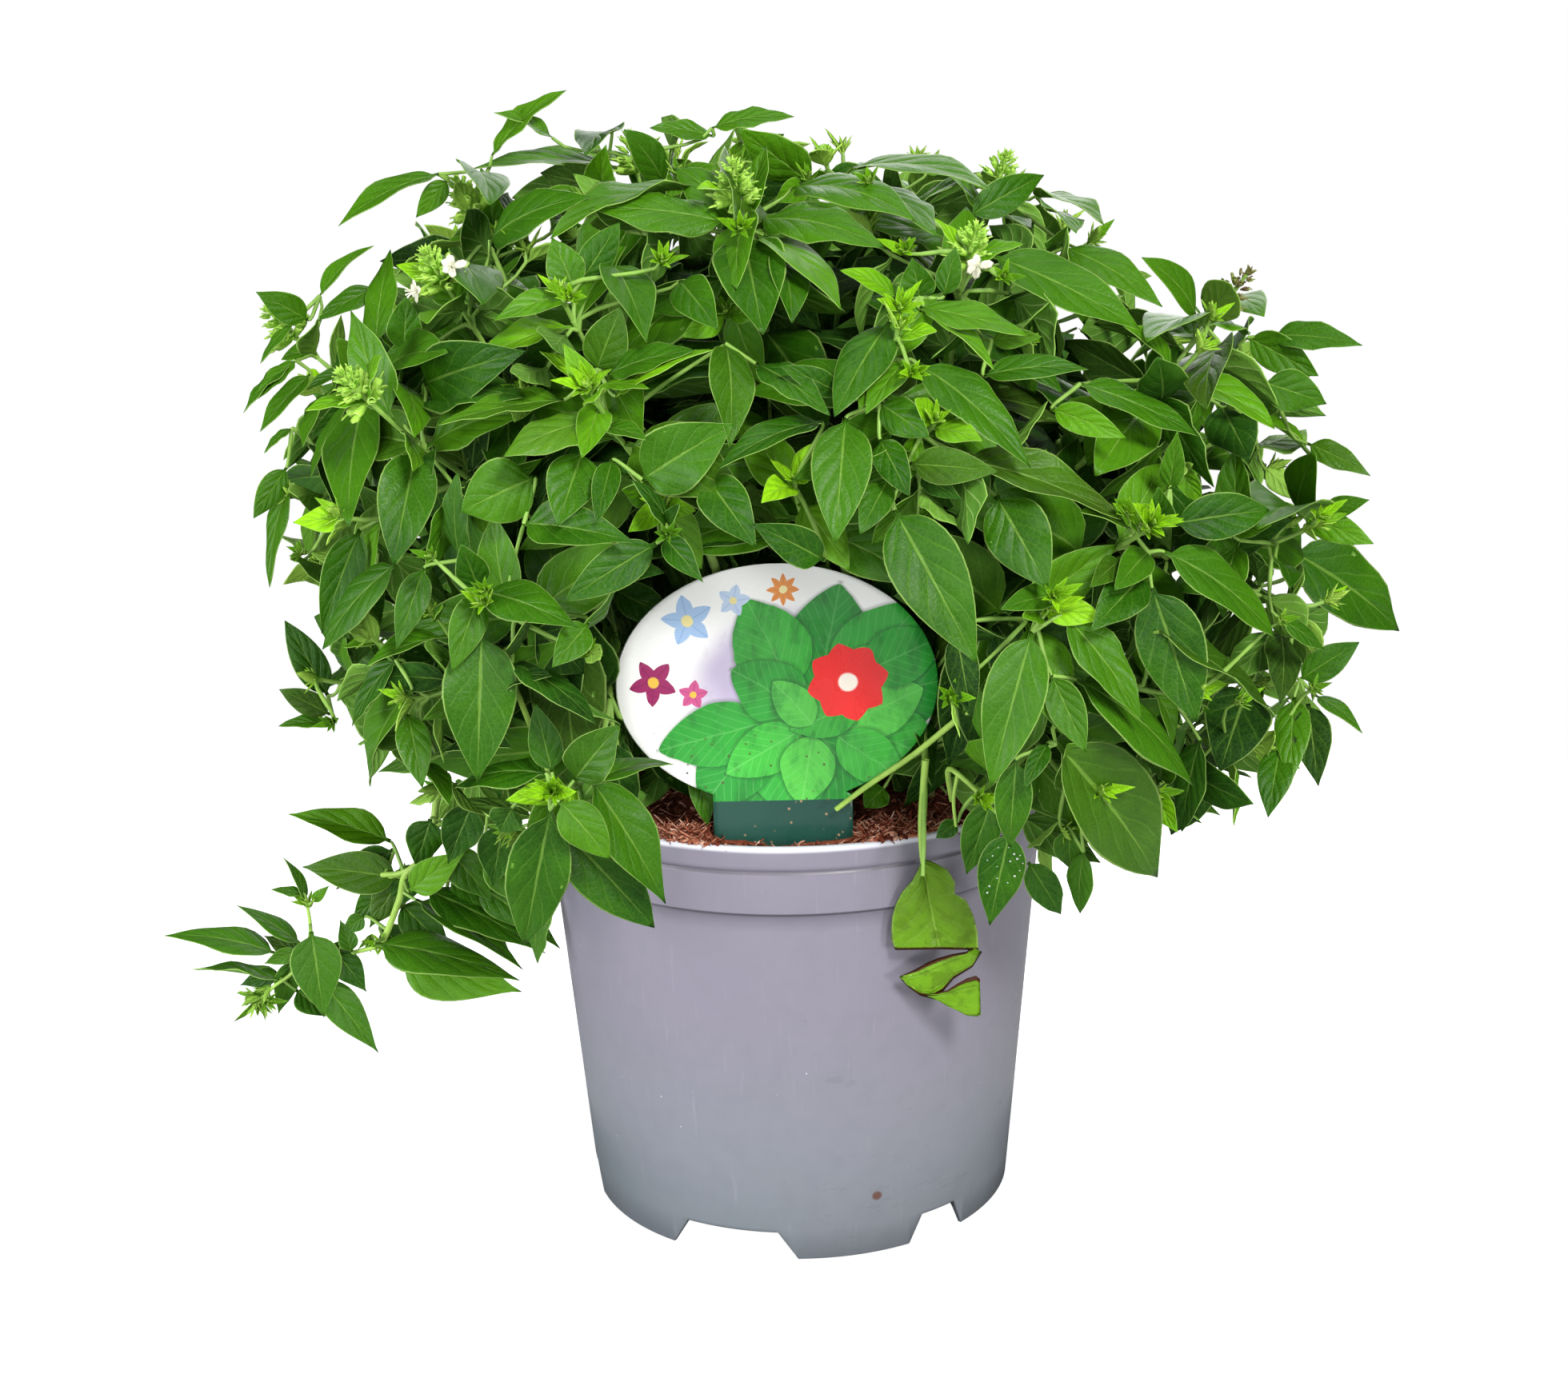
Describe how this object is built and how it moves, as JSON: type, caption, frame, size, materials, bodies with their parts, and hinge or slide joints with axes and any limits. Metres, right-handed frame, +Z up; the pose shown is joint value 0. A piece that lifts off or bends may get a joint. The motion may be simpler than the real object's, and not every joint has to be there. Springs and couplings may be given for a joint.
{
  "type": "potted basil plant",
  "caption": "Bushy basil plant with flower spikes in a round grey plastic nursery pot, with an oval plant label on a stake pushed into the soil.",
  "frame": {"origin": "centre of the circle of the pot's feet, on the surface it stands on", "axes": "+Z up along the pot's axis; -Y towards the front, where the plant label faces; +X to the right seen from the front"},
  "size_m": [0.426, 0.3239, 0.369],
  "materials": {
    "pot_plastic": "satin",
    "coir_soil": "matte",
    "label_plastic": "satin",
    "stem": "satin",
    "leaf": "satin",
    "flower_spike": "matte"
  },
  "bodies": {
    "root": {"nursery_pot": "pot_plastic", "potting_soil": "coir_soil", "plant_label": "label_plastic", "stem_01": "stem", "stem_02": "stem", "stem_03": "stem", "stem_04": "stem", "stem_05": "stem", "stem_06": "stem", "stem_07": "stem", "stem_08": "stem", "stem_09": "stem", "stem_10": "stem", "stem_11": "stem", "stem_12": "stem", "stem_13": "stem", "leafy_branch_01": "leaf", "leafy_branch_02": "leaf", "leafy_branch_03": "leaf", "leafy_branch_04": "leaf", "leafy_branch_05": "leaf", "leafy_branch_06": "leaf", "leafy_branch_07": "leaf", "leafy_branch_08": "leaf", "leafy_branch_09": "leaf", "leafy_branch_10": "leaf", "leafy_branch_11": "leaf", "leafy_branch_12": "leaf", "leafy_branch_13": "leaf", "leafy_branch_14": "leaf", "leafy_branch_15": "leaf", "leafy_branch_16": "leaf", "leafy_branch_17": "leaf", "leafy_branch_18": "leaf", "leafy_branch_19": "leaf", "leafy_branch_20": "leaf", "leafy_branch_21": "leaf", "leafy_branch_22": "leaf", "leafy_branch_23": "leaf", "leafy_branch_24": "leaf", "leafy_branch_25": "leaf", "leafy_branch_26": "leaf", "leafy_branch_27": "leaf", "leafy_branch_28": "leaf", "leafy_branch_29": "leaf", "leafy_branch_30": "leaf", "leafy_branch_31": "leaf", "leafy_branch_32": "leaf", "leafy_branch_33": "leaf", "leafy_branch_34": "leaf", "leafy_branch_35": "leaf", "flower_spike_01": "flower_spike", "flower_spike_02": "flower_spike", "flower_spike_03": "flower_spike", "flower_spike_04": "flower_spike", "flower_spike_05": "flower_spike", "flower_spike_06": "flower_spike", "flower_spike_07": "flower_spike", "flower_spike_08": "flower_spike", "flower_spike_09": "flower_spike"}
  },
  "joints": []
}
